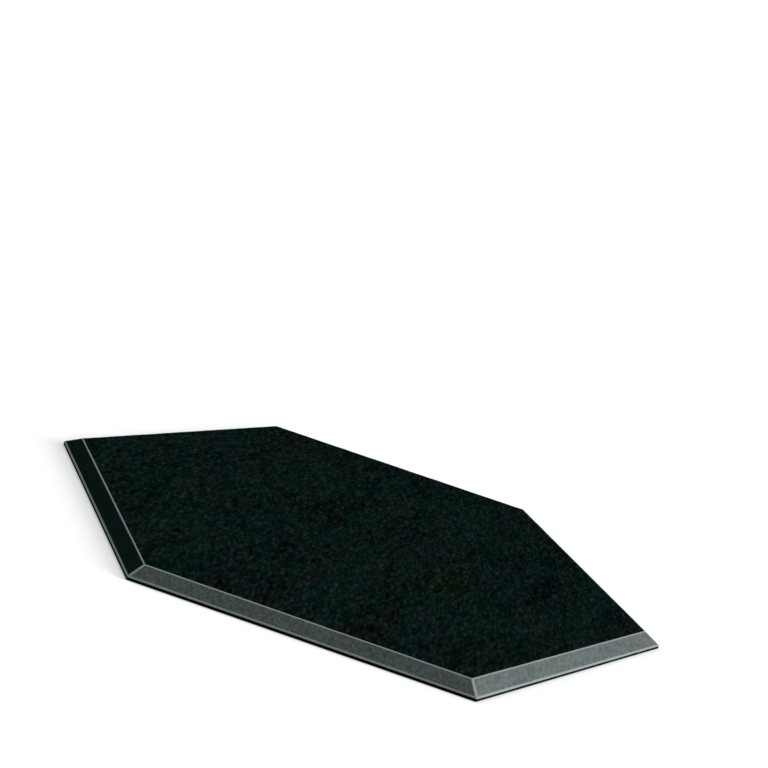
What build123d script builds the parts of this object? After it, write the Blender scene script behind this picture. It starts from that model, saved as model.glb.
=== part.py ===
from build123d import *
import os

# Hexagonal acoustic panel, in millimetres.
#
# One piece of stiff felt board, pressed from polyester fibre to an even thickness and cut to a regular
# hexagon. All six edges are bevelled on the front, so that panels set side by side on a wall meet in a
# V-shaped joint, and a narrow square land is left below the bevel, where neighbours butt.
#
# The origin is the centre of the back face, which lies against the wall. +Z points out of the front
# face, two opposite corners lie on the X axis, and two opposite edges run parallel to it.

# The board
corner_to_corner = 355.6    # over two opposite corners, 14 inches
board_thickness = 7.0       # from the back face to the front face
side_count = 6              # edges of the panel

# The cut edge
bevel_inset = 8.5           # how far the bevel runs in over the front, square to the edge
edge_land = 1.8             # height of the square edge that is left below the bevel
arris_radius = 0.4          # the fibres leave no edge sharper than this, apart from the back's


def board_blank():
    """The board cut square through to its outline, with its back face on the XY plane."""
    outline = RegularPolygon(corner_to_corner / 2, side_count)
    return extrude(outline, board_thickness)


def bevelled(blank):
    """The blank with its front edges planed off, down to the land and in over the front face."""
    front = blank.faces().sort_by(Axis.Z)[-1]
    bevel_drop = board_thickness - edge_land
    return chamfer(front.edges(), bevel_inset, bevel_drop, reference=front)


def softened(board):
    """The board with every edge but those of the back face rounded, its corners and mitres too."""
    back = board.faces().sort_by(Axis.Z)[0]
    exposed_edges = board.edges() - back.edges()
    return fillet(exposed_edges, arris_radius)


felt_panel = softened(bevelled(board_blank()))

os.makedirs("parts", exist_ok=True)
export_step(felt_panel, "parts/felt_panel.step")
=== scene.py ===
from functools import reduce
from math import cos, pi, radians, sin

import bmesh
import bpy
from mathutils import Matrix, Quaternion, Vector


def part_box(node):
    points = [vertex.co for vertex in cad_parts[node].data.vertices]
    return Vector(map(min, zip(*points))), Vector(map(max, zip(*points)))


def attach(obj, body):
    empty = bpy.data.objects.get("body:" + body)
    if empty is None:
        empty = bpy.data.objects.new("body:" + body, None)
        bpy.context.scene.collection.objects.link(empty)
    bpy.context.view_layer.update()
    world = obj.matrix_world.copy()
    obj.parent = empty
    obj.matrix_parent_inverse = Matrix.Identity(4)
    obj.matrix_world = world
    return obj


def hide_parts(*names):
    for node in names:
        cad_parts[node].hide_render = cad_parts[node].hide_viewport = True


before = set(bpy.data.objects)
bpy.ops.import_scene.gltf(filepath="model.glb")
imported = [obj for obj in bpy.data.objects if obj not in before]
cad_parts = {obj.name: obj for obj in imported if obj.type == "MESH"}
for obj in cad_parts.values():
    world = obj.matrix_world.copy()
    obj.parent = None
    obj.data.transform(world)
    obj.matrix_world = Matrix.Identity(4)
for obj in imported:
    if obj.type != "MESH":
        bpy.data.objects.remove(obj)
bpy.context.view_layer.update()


# The panel: one piece of stiff felt board, pressed and needled from dark polyester fibre.
# It is cut to a hexagon with a wide bevel along all six edges, which stops short of the back and
# leaves a narrow square land. Nothing is fixed to it, and its plain back is glued to the wall.
lowest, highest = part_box("felt_panel")
side_count = 6
apothem = (highest.y - lowest.y) / 2    # from the middle to each side
corner_distance = apothem / cos(pi / side_count)
board_thickness = highest.z
bevel_inset = 0.0085        # how far the bevel runs in over the front
edge_land = 0.0018          # height of the square land
arris_ease = 0.00035        # how far the fibres round off each arris, measured from its sharp line
arris_cuts = 3
flat_enough = 1e-6


def pick(kind, wanted):
    """Select, in edit mode, only those faces, edges or verts that are wanted."""
    bpy.ops.mesh.select_mode(type={"verts": "VERT", "edges": "EDGE", "faces": "FACE"}[kind])
    bpy.ops.mesh.select_all(action="DESELECT")
    mesh = bmesh.from_edit_mesh(bpy.context.object.data)
    for part in getattr(mesh, kind):
        if wanted(part):
            part.select_set(True)
    bmesh.update_edit_mesh(bpy.context.object.data)


def narrow_to(distance, height):
    """Scale what is selected so that its six sides, now on the panel's outline, come in this far."""
    share = distance / apothem
    bpy.ops.transform.resize(value=(share, share, 1), center_override=(0, 0, height))


# A flat outline with blunt corners is pulled up to the land, and then up and in to the front face.
bpy.ops.object.select_all(action="DESELECT")
bpy.ops.mesh.primitive_circle_add(
    vertices=side_count, radius=corner_distance, fill_type="NGON", rotation=(0, 0, pi / side_count)
)
felt_hexagon = bpy.context.object
felt_hexagon.name = felt_hexagon.data.name = "felt_hexagon"
bpy.ops.object.transform_apply(location=True, rotation=True, scale=True)
bpy.ops.object.mode_set(mode="EDIT")
bpy.ops.mesh.select_all(action="SELECT")
bpy.ops.mesh.bevel(offset=arris_ease, segments=arris_cuts, affect="VERTICES")
bpy.ops.mesh.select_all(action="SELECT")
bpy.ops.mesh.extrude_region_move(TRANSFORM_OT_translate={"value": (0, 0, edge_land)})
bpy.ops.mesh.extrude_region_move(
    TRANSFORM_OT_translate={"value": (0, 0, board_thickness - edge_land)}
)
narrow_to(apothem - bevel_inset, board_thickness)

# Both arrises of the bevel, all the way round, are softened.
pick("edges", lambda edge: all(
    abs(vert.co.z - edge.verts[0].co.z) < flat_enough < vert.co.z for vert in edge.verts
))
bpy.ops.mesh.bevel(offset=arris_ease, segments=arris_cuts, affect="EDGES")

# Each broad face gets a rim whose corners are single points, and is divided to its centre.
rim_width = 0.0012
corner_merge = 0.0010       # points of the rim that are nearer to each other become one
for height in (0, board_thickness):
    pick("faces", lambda face: len(face.verts) > side_count and all(
        abs(vert.co.z - height) < flat_enough for vert in face.verts
    ))
    bpy.ops.mesh.extrude_region_move()
    narrow_to(apothem - rim_width, height)
    bpy.ops.mesh.remove_doubles(threshold=corner_merge)
    bpy.ops.mesh.poke()

# Cuts across the bevel, and two rounds of cuts along the sides. The second spares the back.
bevel_cuts, side_cuts, fine_cuts = 6, 11, 9
side_length = corner_distance
bevel_length = Vector((bevel_inset, board_thickness - edge_land)).length
pick("edges", lambda edge: bevel_length / 2 < edge.calc_length() < 2 * bevel_length)
bpy.ops.mesh.subdivide(number_cuts=bevel_cuts)
pick("edges", lambda edge: edge.calc_length() > side_length / 2)
bpy.ops.mesh.subdivide(number_cuts=side_cuts)
coarse_step = side_length / (side_cuts + 1)
pick("edges", lambda edge: edge.calc_length() > coarse_step / 2 and (
    any(abs(face.normal.z) < 1 - flat_enough for face in edge.link_faces)
    or edge.verts[0].co.z > flat_enough
))
bpy.ops.mesh.subdivide(number_cuts=fine_cuts)

bpy.ops.mesh.select_all(action="SELECT")
bpy.ops.mesh.quads_convert_to_tris()
bpy.ops.mesh.normals_make_consistent(inside=False)

# All but the back rises and falls a little, as pressed felt does: slow waves and small tufts.
unevenness = (("felt_waves", 0.016, 0.00016), ("felt_tufts", 0.0035, 0.00012))
sharpest_smooth = radians(60)
pick("verts", lambda vert: vert.co.z > flat_enough)
bpy.ops.object.vertex_group_add()
bpy.ops.object.vertex_group_assign()
loose_side = felt_hexagon.vertex_groups.active.name
bpy.ops.object.mode_set(mode="OBJECT")
for name, swelling_length, swelling_height in unevenness:
    swellings = bpy.data.textures.new(name, "CLOUDS")
    swellings.noise_scale = swelling_length
    swellings.noise_depth = 1
    displace = felt_hexagon.modifiers.new(name, "DISPLACE")
    displace.texture = swellings
    displace.texture_coords = "LOCAL"
    displace.strength = swelling_height
    displace.vertex_group = loose_side
    bpy.ops.object.modifier_apply(modifier=name)
bpy.ops.object.shade_smooth_by_angle(angle=sharpest_smooth)


class Strand:
    """The output of one node in the material being made. Arithmetic on it adds Math nodes."""

    tree = None

    def __init__(self, socket):
        self.socket = socket

    @classmethod
    def node(cls, kind, settings, values, output=None):
        """Add a node, make its settings, then give its sockets their values or links."""
        made = cls.tree.nodes.new(kind)
        for name, setting in settings.items():
            setattr(made, name, setting)
        inputs = {socket.identifier: socket for socket in made.inputs}
        for name, value in values.items():
            if isinstance(value, cls):
                value.into(inputs[name])
            else:
                inputs[name].default_value = value
        outputs = {socket.identifier: socket for socket in made.outputs}
        return cls(outputs[output] if output else made.outputs[0])

    @classmethod
    def maths(cls, operation, *values):
        """Add a Math node that works on one or two values, each a number or a node's output."""
        return cls.node(
            "ShaderNodeMath", {"operation": operation}, dict(zip(("Value", "Value_001"), values))
        )

    def beside(self, output):
        """Another output of the same node."""
        return Strand(self.socket.node.outputs[output])

    def into(self, socket):
        """Link this output to a socket."""
        self.tree.links.new(self.socket, socket)

    def over(self, low, high):
        """A soft step from 0 to 1, as the value passes from low to high."""
        return self.node(
            "ShaderNodeMapRange",
            {"interpolation_type": "SMOOTHSTEP"},
            {"Value": self, "From Min": low, "From Max": high},
        )

    def __add__(self, other):
        return self.maths("ADD", self, other)

    def __sub__(self, other):
        return self.maths("SUBTRACT", self, other)

    def __rsub__(self, other):
        return self.maths("SUBTRACT", other, self)

    def __mul__(self, other):
        return self.maths("MULTIPLY", self, other)

    def __abs__(self):
        return self.maths("ABSOLUTE", self)

    __radd__ = __add__
    __rmul__ = __mul__


def highest_of(*values):
    """The highest of these values, at each point."""
    return reduce(lambda first, second: Strand.maths("MAXIMUM", first, second), values)


def lowest_of(*values):
    """The lowest of these values, at each point."""
    return reduce(lambda first, second: Strand.maths("MINIMUM", first, second), values)


def tint(share, under, upper):
    """The colour under, with this share of it replaced by the colour upper."""
    return Strand.node(
        "ShaderNodeMix",
        {"data_type": "RGBA"},
        {"Factor_Float": share, "A_Color": under, "B_Color": upper},
        output="Result_Color",
    )


def times(colour, share):
    """The colour, made this many times as light."""
    return Strand.node(
        "ShaderNodeVectorMath", {"operation": "SCALE"}, {"Vector": colour, "Scale": share}
    )


def lifted(colour, tone, amount):
    """The colour with this much of a tone added, or taken away where the amount is below zero."""
    return Strand.node(
        "ShaderNodeVectorMath",
        {"operation": "ADD"},
        {"Vector": colour, "Vector_001": times(tone, amount)},
    )


felt = bpy.data.materials.new("pressed_felt")
felt.use_nodes = True
Strand.tree = felt.node_tree
shader = felt.node_tree.nodes["Principled BSDF"]

place = Strand.node("ShaderNodeTexCoord", {}, {}, output="Object")

# The fibres were carded along Y before they were needled, so the patterns are drawn out that way.
carding = 3.0
laid = Strand.node(
    "ShaderNodeMapping", {"vector_type": "TEXTURE"}, {"Vector": place, "Scale": (1, carding, 1)}
)


def noise(size, shift, detail=1.0, roughness=0.5, at=laid, output="Fac"):
    """Smooth noise round 0.5, with swellings of this size, shifted so that no two are alike."""
    moved = Strand.node(
        "ShaderNodeMapping",
        {"vector_type": "TEXTURE"},
        {"Vector": at, "Location": (shift, 0, 0), "Scale": (size, size, size)},
    )
    return Strand.node(
        "ShaderNodeTexNoise",
        {},
        {"Vector": moved, "Scale": 1.0, "Detail": detail, "Roughness": roughness},
        output=output,
    )


# How far a point is from the middle, square to each pair of edges, gives the zones of the cut edge.
soft_edge = 0.00015


def past(value, limit):
    """1 where the value is beyond this limit and 0 short of it, with a soft edge between."""
    return value.over(limit - soft_edge, limit + soft_edge)


x = Strand.node("ShaderNodeSeparateXYZ", {}, {"Vector": place}, output="X")
y, z = x.beside("Y"), x.beside("Z")
reaches = [
    abs(x * cos(turn) + y * sin(turn))
    for turn in (pi / side_count, pi / 2, pi - pi / side_count)
]
outermost = highest_of(*reaches)
second = sum(reaches) - outermost - lowest_of(*reaches)
mitre_gap = outermost - second      # how far the point is from the nearest mitre
inner_edge = apothem - bevel_inset
above_land = past(z, edge_land)
on_bevel = past(outermost, inner_edge) * above_land

# The cutter glazes the arrises, which show as pale lines. The outer one runs a little down the land.
inner_reach = 0.00042
outer_reach = 0.00068
mitre_reach = 0.00070
land_glaze = 0.00040
inner_glaze = 0.85
inner_arris = (1 - past(abs(outermost - inner_edge), inner_reach)) * above_land * inner_glaze
outer_arris = (1 - past(apothem - outermost, outer_reach)) * past(z, edge_land - land_glaze)
mitre_arris = (1 - past(mitre_gap, mitre_reach)) * on_bevel
arris = highest_of(inner_arris, outer_arris, mitre_arris)

# The felt is near black. Its shade wanders between four hues, in wide patches and in small ones.
teal_black = (0.0001, 0.0043, 0.0030, 1)
moss_black = (0.0010, 0.0051, 0.0015, 1)
slate_black = (0.0001, 0.0034, 0.0048, 1)
plum_black = (0.0020, 0.0030, 0.0032, 1)
patches = (
    (moss_black, 0.036), (slate_black, 0.040), (plum_black, 0.030),
    (moss_black, 0.013), (slate_black, 0.011), (plum_black, 0.011),
)
patch_start, patch_full = 0.42, 0.76
patch_share = 0.7
hue = teal_black
for number, (patch_black, patch_size) in enumerate(patches):
    patch = noise(patch_size, shift=number, detail=0.0).over(patch_start, patch_full)
    hue = tint(patch * patch_share, hue, patch_black)

# Crossed layers of short curled fibres lie on it, some paler than the ground and some darker.
layer_count = 5
layer_shift = 0.1
first_turn = 0.3
fibre_width, fibre_length = 0.0023, 0.0038
fibre_edge = 0.48           # how far from its middle a fibre has faded out, in widths or lengths
fibre_middling = 0.32       # of the fibres' own shades from 0 to 1, the one that shows neither way
curl_size, curl_reach = 0.0035, 0.0010
curled = Strand.node(
    "ShaderNodeVectorMath",
    {"operation": "MULTIPLY_ADD"},
    {
        "Vector": noise(curl_size, shift=0.5, output="Color"),
        "Vector_001": (curl_reach, curl_reach, 0),
        "Vector_002": laid,
    },
)


def fibres(number):
    """One layer of fibres, each lighter or darker than the ground by its own share."""
    spots = Strand.node(
        "ShaderNodeMapping",
        {"vector_type": "TEXTURE"},
        {
            "Vector": curled,
            "Location": (number * layer_shift, 0, 0),
            "Rotation": (0, 0, pi * number / layer_count + first_turn),
            "Scale": (fibre_width, fibre_length, fibre_width),
        },
    )
    near = Strand.node(
        "ShaderNodeTexVoronoi",
        {"voronoi_dimensions": "2D"},
        {"Vector": spots, "Scale": 1.0},
        output="Distance",
    )
    own = Strand.node("ShaderNodeSeparateXYZ", {}, {"Vector": near.beside("Color")}, output="X")
    return (1 - near.over(0.0, fibre_edge)) * (own - fibre_middling)


fibre = sum(fibres(number) for number in range(layer_count))
fibre_gain = 0.0117         # how much a full fibre adds or takes away
ground_gain = 0.0017        # what everything gets, fibres and ground alike
darkest_gain = -0.0025
fibre_tone = (0.66, 0.98, 0.90)
lightness = highest_of(fibre * fibre_gain + ground_gain, darkest_gain)

# The whole board is a little greener and paler in one place than in another.
drift_size, drift_gain = 0.020, 0.0095
drift_middle = 0.5
drift_tone = (0.05, 1.0, 0.86)
drift = noise(drift_size, shift=0.9, detail=3.0, roughness=0.6)
dark_felt = lifted(hue, fibre_tone, lightness)
dark_felt = lifted(dark_felt, drift_tone, (drift - drift_middle) * drift_gain)

# The cut lies open and looks paler: grey with a fine even grain, here warmer, there greener.
warm_size, green_size, grain_size = 0.014, 0.012, 0.0022
tone_start, tone_full = 0.35, 0.65
green_share = 0.8
grain_gain, drift_share, plain_share = 1.4, 0.36, 0.14
cut_grey = (0.0705, 0.0862, 0.0890, 1)
warm_grey = (0.0795, 0.0850, 0.0860, 1)
green_grey = (0.0735, 0.0890, 0.0805, 1)
arris_grey = (0.008, 0.013, 0.012, 1)
warm = noise(warm_size, shift=0.3, roughness=0.6, at=place).over(tone_start, tone_full)
green = noise(green_size, shift=0.6, roughness=0.6, at=place).over(tone_start, tone_full)
grain = noise(grain_size, shift=0.4, detail=3.0, roughness=0.62, at=place)
open_cut = tint(warm, cut_grey, warm_grey)
open_cut = tint(green * green_share, open_cut, green_grey)
grey_felt = times(open_cut, grain * grain_gain + drift * drift_share + plain_share)
colour = tint(on_bevel, dark_felt, grey_felt)
colour = tint(arris, colour, arris_grey)

# Fibres and grain stand up a little, which shows most where the light rakes over the felt.
fibre_rise, grain_rise = 0.000035, 0.00020
rise = fibre * (1 - on_bevel) * fibre_rise + grain * on_bevel * grain_rise
relief = Strand.node("ShaderNodeBump", {}, {"Strength": 1.0, "Distance": 1.0, "Height": rise})

# The felt is quite matt. Only the glaze on the arrises throws back what is round it.
colour.into(shader.inputs["Base Color"])
arris.into(shader.inputs["Coat Weight"])
relief.into(shader.inputs["Normal"])
shader.inputs["Roughness"].default_value = 1.0
shader.inputs["Specular IOR Level"].default_value = 0.0
shader.inputs["Coat Roughness"].default_value = 1.0
shader.inputs["Coat IOR"].default_value = 3.1
felt_hexagon.data.materials.append(felt)

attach(felt_hexagon, "root")
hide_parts("felt_panel")


# The floor: a wide white sheet that the panel lies on, with its back down. It shows the panel's
# soft shadow, and near the panel its glow is darkened by painted shade. It is dull to all light that
# isn't on its way to the eye, so it brightens nothing.
floor_reach = 40.0
floor_gap = 0.0001          # from the panel's back
dull_grey = (0.20, 0.20, 0.20, 1)
lit_grey = (0.25, 0.25, 0.25, 1)
glow_strength = 0.79
# The painted shade that darkens the glow near the panel comes from an ambient occlusion node.
painted_shade_reach = 0.03           # how far from the panel the glow starts to fade towards it
painted_shade_samples = 8
bpy.ops.object.select_all(action="DESELECT")
bpy.ops.mesh.primitive_plane_add(size=floor_reach, location=(0, 0, -floor_gap))
floor = bpy.context.object
floor.name = floor.data.name = "floor"
bpy.ops.object.transform_apply(location=True, rotation=True, scale=True)
white_sheet = bpy.data.materials.new("white_sheet")
white_sheet.use_nodes = True
Strand.tree = white_sheet.node_tree
white_sheet.node_tree.nodes.remove(white_sheet.node_tree.nodes["Principled BSDF"])


def ray(name):
    """1 for rays of this kind, 0 for all others."""
    return Strand.node("ShaderNodeLightPath", {}, {}, output=name)


def seen_straight():
    """1 for rays that reach the eye straight or through glass."""
    return highest_of(ray("Is Camera Ray"), ray("Is Transmission Ray"))


dull = Strand.node("ShaderNodeBsdfDiffuse", {}, {"Color": dull_grey})
lit = Strand.node("ShaderNodeBsdfDiffuse", {}, {"Color": lit_grey})
# Painted shade: ambient occlusion darkens the floor's glow close to the panel, as a painted contact
# shadow.
painted_contact_shade = Strand.node(
    "ShaderNodeAmbientOcclusion", {"samples": painted_shade_samples}, {"Distance": painted_shade_reach}, output="Color"
)
glow = Strand.node("ShaderNodeEmission", {}, {"Color": painted_contact_shade, "Strength": glow_strength})
bright = Strand.node("ShaderNodeAddShader", {}, {"Shader": lit, "Shader_001": glow})
sheet = Strand.node(
    "ShaderNodeMixShader",
    {},
    {
        "Fac": highest_of(seen_straight(), ray("Is Glossy Ray")),
        "Shader": dull,
        "Shader_001": bright,
    },
)
sheet.into(white_sheet.node_tree.nodes["Material Output"].inputs["Surface"])
floor.data.materials.append(white_sheet)


# The light: one broad soft lamp low on the right, and a dim room with little red in it.
# The room looks white straight on, and nearly white where the glazed arrises mirror it.
key_turn, key_rise = radians(8.3), radians(18.6)
key_breadth = radians(20)
key_share = 0.93            # of full light, on a surface that lies level
dim_room = (0.028, 0.074, 0.063, 1)
mirrored_room = (0.80, 1.0, 0.97, 1)
white_room = (1, 1, 1, 1)
bpy.ops.object.light_add(type="SUN", rotation=(0, pi / 2 - key_rise, key_turn))
key = bpy.context.object.data
key.energy = pi * key_share / sin(key_rise)
key.angle = key_breadth

room = bpy.data.worlds.new("studio")
bpy.context.scene.world = room
room.use_nodes = True
Strand.tree = room.node_tree
backdrop = room.node_tree.nodes["Background"]
room_colour = tint(seen_straight(), dim_room, white_room)
room_colour = tint(ray("Is Glossy Ray"), room_colour, mirrored_room)
room_colour.into(backdrop.inputs["Color"])
backdrop.inputs["Strength"].default_value = 1.0


# The camera: close to the floor in front of the panel, a little to its right, and leaning left.
# Its lens is a long one, so that the panel's far end doesn't look much smaller than its near end.
camera_place = Vector((0.0733, -0.9224, 0.3304))
camera_aim = Vector((-0.0454, 0.3654, 0.0))
camera_roll = radians(17.18)
lens_length = 81.3
straight = (camera_aim - camera_place).to_track_quat("-Z", "Y")
bpy.ops.object.camera_add(
    location=camera_place,
    rotation=(straight @ Quaternion((0, 0, 1), camera_roll)).to_euler(),
)
camera = bpy.context.object
camera.data.lens = lens_length
bpy.context.scene.camera = camera
bpy.context.scene.view_settings.view_transform = "Standard"
